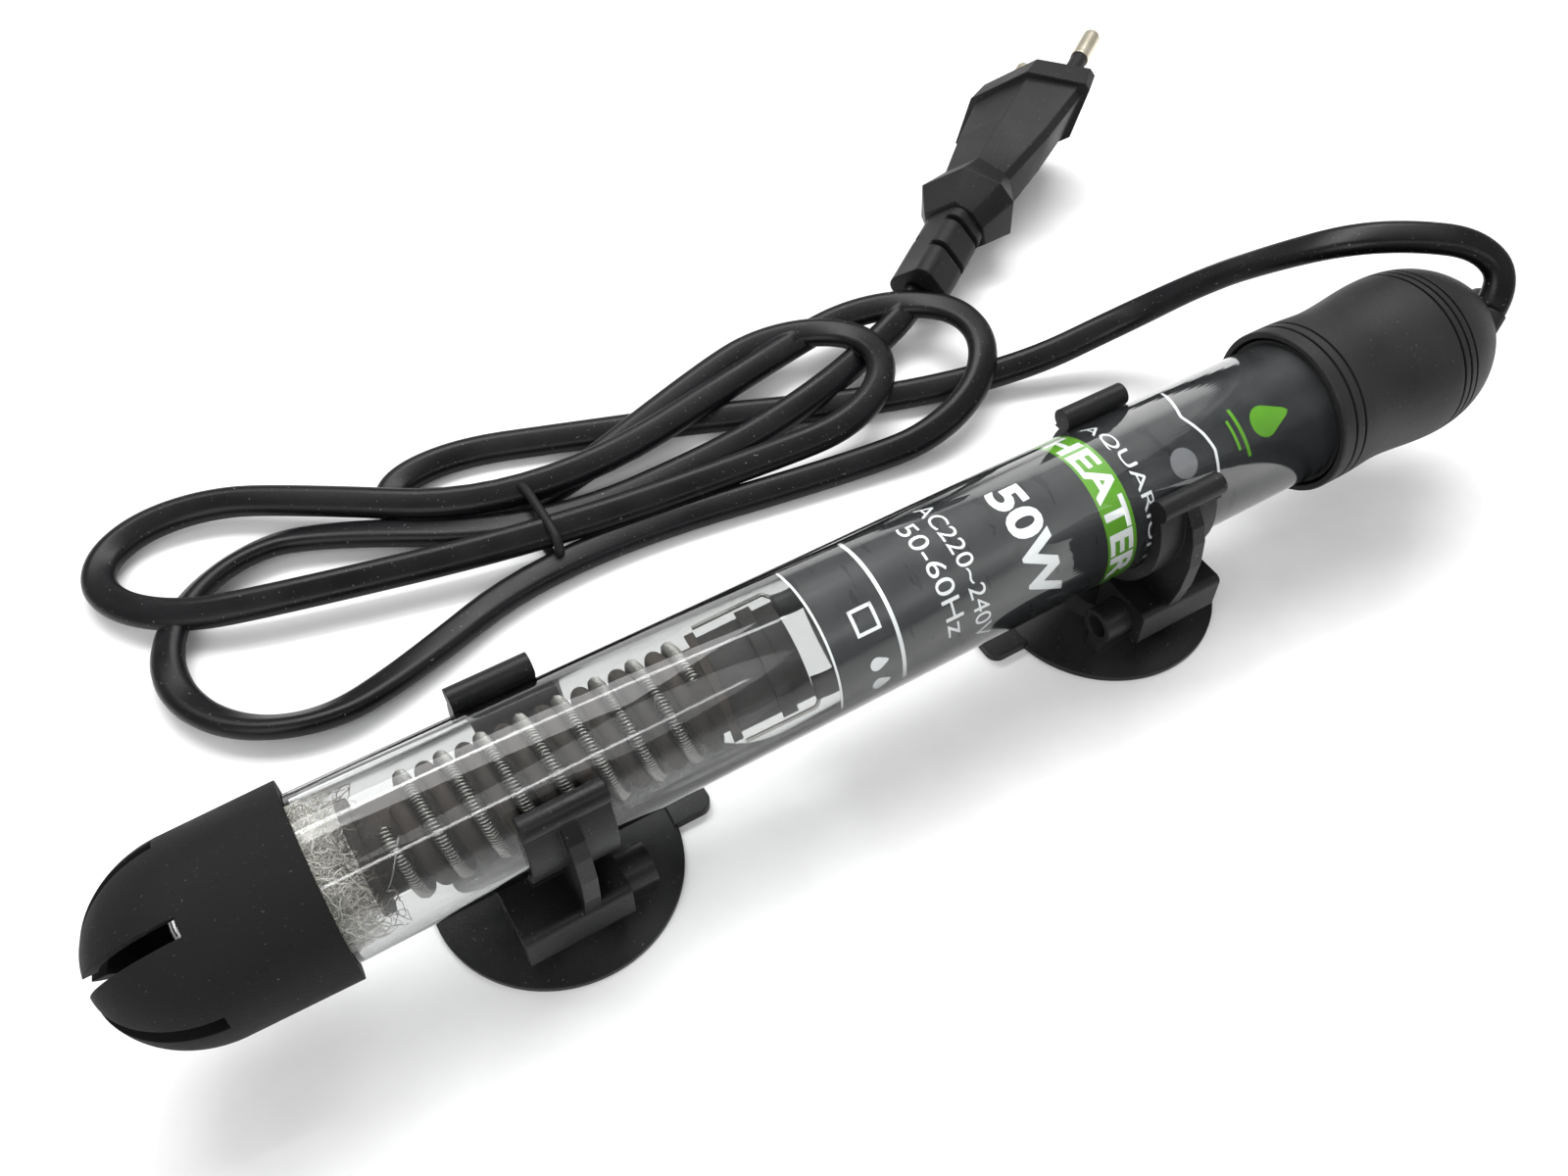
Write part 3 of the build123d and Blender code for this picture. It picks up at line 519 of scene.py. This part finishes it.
def stands_for(obj, slot_name, *node_names):
    """Puts a piece on the heater body and hides any CAD nodes it stands for; its slot name is not
    used.
    """
    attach(obj, ROOT)
    if node_names:
        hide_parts(*node_names)


def polar(radius, angle_deg):
    """Y and Z at an angle about the tube, from the top towards the front, in metres."""
    angle = math.radians(angle_deg)
    return -radius * math.sin(angle), axis_z + radius * math.cos(angle)


# ---- cord and its tie ----
cord, cord_samples = make_cord(FINISH["cord_pvc"])
stands_for(cord, "cord_pvc", "cord_lead", "cord_hank", "cord_plug_lead")


TIE_R = 0.85 * MM
TIE_INSET = 0.9 * MM     # its middle line, inside the CAD tie's box
TIE_SKEW = 0.4 * MM
TIE_STEPS = 48
TIE_SIDES = 10


def make_tie():
    """Round tie pulled tight about the bundle."""
    tie_lo, tie_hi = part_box("cord_tie")
    middle = (tie_lo + tie_hi) / 2
    half_y = (tie_hi.y - tie_lo.y) / 2 - TIE_INSET
    half_z = (tie_hi.z - tie_lo.z) / 2 - TIE_INSET
    loop_points = []
    for step in range(TIE_STEPS + 1):
        turn = 2 * math.pi * step / TIE_STEPS
        cos_turn, sin_turn = math.cos(turn), math.sin(turn)
        # square roots fill out the corners of the oval
        loop_points.append((middle.x + TIE_SKEW * sin_turn,
                            middle.y + math.copysign(half_y * abs(cos_turn) ** 0.5, cos_turn),
                            middle.z + math.copysign(half_z * abs(sin_turn) ** 0.5, sin_turn)))
    return new_object("tie", *loft(round_tube(loop_points, TIE_R, TIE_SIDES)), FINISH["tie"])


tie = make_tie()
stands_for(tie, "tie", "cord_tie")


# ---- glass tube, with a wall and a domed end ----
GLASS_WALL = 1.1 * MM
DOME_STEPS = 17


def make_glass():
    dome_x = glass_lo.x + glass_r
    inner_r = glass_r - GLASS_WALL
    quarter = np.linspace(0, math.pi / 2, DOME_STEPS)
    outer = [(dome_x - glass_r * math.cos(a), glass_r * math.sin(a)) for a in quarter]
    inner = [(dome_x - inner_r * math.cos(a), inner_r * math.sin(a)) for a in quarter[::-1]]
    outline = [*outer, (glass_hi.x, glass_r), (glass_hi.x, inner_r), *inner]
    return turned("glass", outline, FINISH["glass"])


glass = make_glass()
stands_for(glass, "glass", "glass_tube")


# ---- resistance wire: a fine spring wound round the former ----
COIL_PITCH = 5.3 * MM
COIL_TURNS = 8
COIL_BAR_R = 1.0 * MM
WIRE_R = 0.16 * MM
WIRE_SIDES = 5
SPRING_PITCH = 0.44 * MM
SPRING_STEPS = 8         # points round one turn of the fine spring
coil_major = (coil_hi.z - coil_lo.z) / 2 - COIL_BAR_R
coil_start = coil_lo.x + COIL_BAR_R


def coil_phase():
    """Angle at which the CAD winding starts, from its own vertices."""
    pull = np.array([
        np.exp(1j * (math.atan2(v.co.z - axis_z, v.co.y)
                     - 2 * math.pi * (v.co.x - coil_start) / COIL_PITCH))
        for v in frame["nodes"]["heating_coil"].data.vertices])
    return float(np.angle(pull.mean()))


def make_winding():
    major_length = 2 * math.pi * coil_major * COIL_TURNS
    spring_turns = int(major_length / SPRING_PITCH)
    steps = spring_turns * SPRING_STEPS
    start = coil_phase()
    middle_r = COIL_BAR_R - WIRE_R
    points = []
    for step in range(steps + 1):
        share = step / steps
        around = start + 2 * math.pi * COIL_TURNS * share
        coiled = 2 * math.pi * step / SPRING_STEPS
        radius = coil_major + middle_r * math.cos(coiled)
        points.append((coil_start + COIL_PITCH * COIL_TURNS * share + middle_r * math.sin(coiled),
                       radius * math.cos(around), axis_z + radius * math.sin(around)))
    return new_object("winding", *loft(round_tube(points, WIRE_R, WIRE_SIDES)),
                      FINISH["resistance_wire"])


winding = make_winding()
stands_for(winding, "resistance_wire", "heating_coil")


# ---- loose fibre packed into the closed end ----
FIBRE_COUNT = 3200
FIBRE_RADII = (0.03, 0.07)           # mm
FIBRE_SIDES = 3
FIBRE_STEPS = 8
FIBRE_STEP = 0.7 * MM
FIBRE_WANDER = 0.35
FIBRE_START_R = 9.6 * MM
FIBRE_LIMIT_R = 9.9 * MM             # inside the glass
FIBRE_INNER_SHARE = 0.02             # of the starting circle's area, left empty at its middle
FIBRE_SPREAD = 2.6 * MM              # along the tube
FIBRE_OVERRUN = 2.5 * MM             # past the CAD pad, over the end of the element


def make_fibre():
    pad_lo, pad_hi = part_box("fibre_pad")
    centre_x = (pad_lo.x + pad_hi.x) / 2
    fibres = []
    for _ in range(FIBRE_COUNT):
        a = rng.uniform(0, 2 * math.pi)
        r = FIBRE_START_R * math.sqrt(rng.uniform(FIBRE_INNER_SHARE, 1))
        x = rng.normal(centre_x, FIBRE_SPREAD)
        point = np.array([x, -r * math.sin(a), axis_z + r * math.cos(a)])
        heading = rng.normal(size=3)
        heading /= np.linalg.norm(heading)
        line = []
        for _ in range(FIBRE_STEPS):
            heading += rng.normal(size=3) * FIBRE_WANDER
            heading /= np.linalg.norm(heading)
            point = point + heading * FIBRE_STEP
            off = math.hypot(point[1], point[2] - axis_z)
            if off > FIBRE_LIMIT_R:
                point[1] *= FIBRE_LIMIT_R / off
                point[2] = axis_z + (point[2] - axis_z) * FIBRE_LIMIT_R / off
            point[0] = min(max(point[0], pad_lo.x), pad_hi.x + FIBRE_OVERRUN)
            line.append(point.copy())
        fibres.append(loft(round_tube(line, rng.uniform(*FIBRE_RADII) * MM, FIBRE_SIDES)))
    return new_object("wool", *join(fibres), FINISH["fibre"])


wool = make_fibre()
stands_for(wool, "fibre", "fibre_pad")


# ---- loose end of the resistance wire at the closed end, with a small loop ----
END_WIRE_R = 0.13 * MM
END_WIRE_SIDES = 6
END_RUN_STEPS = 14
END_LOOP_STEPS = 20
END_LOOP_FROM = 0.3                  # radians of the loop that the run already covers
END_LOOP_R = 1.0 * MM
END_LOOP_RISE = 0.02 * MM            # sideways drift per radian of the loop
END_START_DEG = 28                   # where it leaves the winding, about the tube
END_SWEEP_DEG = 44
END_START_X = 1.5                    # mm past the winding's start
END_RUN_X = 4.0                      # mm it runs towards the closed end
END_AXIS_R = 7.4                     # mm from the tube axis
END_BULGE = 0.8                      # mm further out half way


def make_wire_end():
    points = []
    for share in np.linspace(0, 1, END_RUN_STEPS):
        out = (END_AXIS_R + END_BULGE * math.sin(math.pi * share)) * MM
        y, z = polar(out, END_START_DEG + END_SWEEP_DEG * share)
        points.append((coil_start + (END_START_X - END_RUN_X * share) * MM, y, z))
    x, y, z = points[-1]
    for turn in np.linspace(END_LOOP_FROM, 2 * math.pi, END_LOOP_STEPS):
        points.append((x - END_LOOP_R * math.sin(turn), y - END_LOOP_RISE * turn,
                       z - END_LOOP_R * (1 - math.cos(turn))))
    return new_object("wire_end", *loft(round_tube(points, END_WIRE_R, END_WIRE_SIDES)),
                      FINISH["resistance_wire"])


wire_end = make_wire_end()
stands_for(wire_end, "resistance_wire")


# ---- insulating sleeves on the element's tails, not quite straight ----
CAD_SLEEVE_R = 1.5 * MM
SLEEVE_SWELL = 1.08                  # how much thicker they look than the CAD's
SLEEVE_WAVE = 0.15 * MM
SLEEVE_WAVE_RATE = 900               # radians per metre
SLEEVE_STEPS = 24
SLEEVE_SIDES = 24
COLLAR_GAP = 0.1 * MM


def make_sleeves():
    sleeve_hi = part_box("lead_sleeves")[1]
    collar_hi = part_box("core_collar")[1]
    off_y = sleeve_hi.y - CAD_SLEEVE_R
    off_z = sleeve_hi.z - CAD_SLEEVE_R - axis_z
    sleeve_meshes = []
    for side_sign in (1, -1):
        line = [(x, side_sign * off_y + SLEEVE_WAVE * math.sin(SLEEVE_WAVE_RATE * x),
                 axis_z + side_sign * off_z)
                for x in np.linspace(collar_hi.x + COLLAR_GAP, sleeve_hi.x, SLEEVE_STEPS)]
        sleeve_meshes.append(loft(round_tube(line, CAD_SLEEVE_R * SLEEVE_SWELL, SLEEVE_SIDES)))
    return new_object("sleeves", *join(sleeve_meshes), FINISH["sleeve"])


sleeves = make_sleeves()
stands_for(sleeves, "sleeve", "lead_sleeves")


# ---- print on the rolled label ----
PRINT_R = label_r + 0.05 * MM
OVERPRINT_R = PRINT_R + 0.03 * MM    # for print on top of other print
WRAP_STEP = 0.4 * MM                 # widest facet round the label
RING_END = 170                       # degrees each way from the top at which a ring stops
PATCH_STEPS = 24
TIP_SHARPNESS = 6                    # of a drop's point
WAVE_STEPS = 40
TEXT_STEPS = 4                       # points along each curve of a letter


def wrap(obj, radius=PRINT_R):
    """Roll flat artwork onto the label: its X runs round the tube, its Y along it."""
    bm = bmesh.new()
    bm.from_mesh(obj.data)
    across = [v.co.x for v in bm.verts]
    cut = min(across) + WRAP_STEP
    while cut < max(across):
        geometry = bm.verts[:] + bm.edges[:] + bm.faces[:]
        bmesh.ops.bisect_plane(bm, geom=geometry, plane_co=(cut, 0, 0), plane_no=(1, 0, 0))
        cut += WRAP_STEP
    for v in bm.verts:
        y, z = polar(radius, math.degrees(v.co.x / radius))
        v.co = Vector((v.co.y, y, z))
    bm.to_mesh(obj.data)
    bm.free()
    return obj


def arc(angle_deg, radius=PRINT_R):
    return math.radians(angle_deg) * radius


def words(name, text, baseline, height, start, end, material, bold=0.0, radius=PRINT_R):
    """Text between two angles, its letters standing along the tube."""
    data = bpy.data.curves.new(name, "FONT")
    data.body = text
    data.offset = bold
    data.resolution_u = TEXT_STEPS
    holder = bpy.data.objects.new(name, data)
    scene.collection.objects.link(holder)
    mesh = bpy.data.meshes.new_from_object(holder)
    bpy.data.objects.remove(holder)
    xs = [v.co.x for v in mesh.vertices]
    ys = [v.co.y for v in mesh.vertices]
    wide, tall = max(xs) - min(xs), max(ys) - min(ys)
    first, last = arc(start, radius), arc(end, radius)
    for v in mesh.vertices:
        v.co.x = first + (v.co.x - min(xs)) / wide * (last - first)
        v.co.y = (baseline + (v.co.y - min(ys)) / tall * height) * MM
        v.co.z = 0
    mesh.materials.append(material)
    obj = bpy.data.objects.new(name, mesh)
    scene.collection.objects.link(obj)
    return wrap(obj, radius)


def artwork(name, outline, material):
    """Flat shape from (x along the tube in mm, angle) corners."""
    verts = [(arc(angle), x * MM, 0) for x, angle in outline]
    return wrap(new_object(name, verts, [tuple(range(len(verts)))], material, smooth=False))


def stripe(name, x0, x1, a0, a1, material):
    return artwork(name, [(x0, a0), (x0, a1), (x1, a1), (x1, a0)], material)


def round_patch(name, x, angle, radius, material, point=0.0):
    """Disc or drop; point draws its +X end out to a tip."""
    outline = []
    for step in range(PATCH_STEPS):
        turn = 2 * math.pi * step / PATCH_STEPS
        reach = radius * (1.0 + point * max(0.0, math.cos(turn)) ** TIP_SHARPNESS)
        outline.append((x + reach * math.cos(turn),
                        angle + math.degrees(radius * math.sin(turn) * MM / PRINT_R)))
    return artwork(name, outline, material)


def square_frame(name, x, angle, half, line, material):
    """Four bars round a square."""
    swing = math.degrees(half * MM / PRINT_R)
    thin = math.degrees(line * MM / PRINT_R)
    bars = [(x - half, x - half + line, angle - swing, angle + swing),
            (x + half - line, x + half, angle - swing, angle + swing),
            (x - half, x + half, angle - swing, angle - swing + thin),
            (x - half, x + half, angle + swing - thin, angle + swing)]
    return [stripe(f"{name}_{k}", *bar, material) for k, bar in enumerate(bars)]


def wavy_line(name, crests, half_width, material):
    """Line across the label through (x, angle) points."""
    xs, angles = zip(*crests)
    fine = np.linspace(angles[0], angles[-1], WAVE_STEPS)
    lift = np.interp(fine, angles, xs)
    upper = [(x + half_width, a) for x, a in zip(lift, fine)]
    lower = [(x - half_width, a) for x, a in zip(lift, fine)]
    return artwork(name, upper + lower[::-1], material)


# places and sizes in mm along the tube, angles in degrees from the top towards the front
label_x0 = label_lo.x / MM
prints = [
    stripe("edge_ring", label_x0, label_x0 + 0.35, -RING_END, RING_END, print_white),
    stripe("ring", -11.5, -10.9, -RING_END, RING_END, print_white),
    *square_frame("plain_square", -15.1, 36, 1.9, 0.5, print_white),
    round_patch("drop_a", -15.4, 72, 1.05, print_white, point=0.8),
    round_patch("drop_b", -15.4, 92, 1.05, print_white, point=0.8),
    words("rating_hz", "50-60Hz", -3.8, 3.0, -20, 81, print_white),
    words("rating_volts", "AC220~240V", 0.8, 2.7, -34, 98, print_white),
    words("rating_watts", "50W", 10.2, 5.8, -13, 88, print_white, bold=0.035),
    stripe("green_band", 24.5, 29.8, -100, 150, print_green),
    words("word_aquarium", "AQUARIUM", 31.6, 2.4, -40, 105, print_white),
    # painted shade: a flat disc stands where the lamp window's hollow would be cut, over the lamp
    round_patch("lamp_ring", 41.0, 35.5, 2.3, window_painted_shade),
    wavy_line("wave", [(48, -39), (45.2, 0), (46.4, 21), (46.9, 36), (46.4, 49), (46, 59)],
              0.25, print_white),
    # plain water drop over two ripples
    round_patch("mark_drop", 57.0, 33, 2.4, print_green, point=1.0),
    stripe("mark_ripple_a", 52.2, 52.8, 12, 54, print_green),
    stripe("mark_ripple_b", 50.8, 51.3, 20, 46, print_green),
    # on the green band
    words("word_heater", "HEATER", 25.0, 4.2, -43, 110, print_white, bold=0.03, radius=OVERPRINT_R),
]
for piece in prints:
    stands_for(piece, "label_film")

# ---- floor and light ----
paper = surface("paper", (0.86, 0.86, 0.86), (0.9, 0.9, 0.9), (0.7, 0.9), bump=0.02)
FLOOR_HALF = 3
FLOOR_DROP = 0.2 * MM                # keeps the floor just clear of what stands on it
corners = [(-FLOOR_HALF, -FLOOR_HALF, 0), (FLOOR_HALF, -FLOOR_HALF, 0),
           (FLOOR_HALF, FLOOR_HALF, 0), (-FLOOR_HALF, FLOOR_HALF, 0)]
floor = new_object("floor", corners, [(0, 1, 2, 3)], paper, smooth=False)
floor.location.z = -FLOOR_DROP


def soft_light(name, place, target, size, size_y, power):
    data = bpy.data.lights.new(name, "AREA")
    data.shape = "RECTANGLE"
    data.size = size
    data.size_y = size_y
    data.energy = power
    light = bpy.data.objects.new(name, data)
    light.location = place
    light.rotation_euler = (Vector(target) - Vector(place)).to_track_quat("-Z", "Y").to_euler()
    scene.collection.objects.link(light)


world = bpy.data.worlds.new("studio")
world.use_nodes = True
background = world.node_tree.nodes["Background"]
background.inputs["Color"].default_value = (1, 1, 1, 1)
background.inputs["Strength"].default_value = 0.5
scene.world = world

OBJECT_MIDDLE = (0, 0.02, 0.01)
TUBE_MIDDLE = (0, 0, axis_z)
# name, place, what it is aimed at, length, width, watts; the streaks draw the glass's highlights
LIGHTS = [
    ("key", (0.15, 0.35, 0.75), OBJECT_MIDDLE, 0.8, 0.5, 6.5),
    ("fill", (-0.6, -0.4, 0.6), OBJECT_MIDDLE, 0.6, 0.6, 3.0),
    ("streak_back", (0.05, 0.22, 0.42), TUBE_MIDDLE, 0.7, 0.03, 0.8),
    ("streak_front", (0.0, -0.3, 0.34), TUBE_MIDDLE, 0.7, 0.025, 0.45),
]
for light_row in LIGHTS:
    soft_light(*light_row)
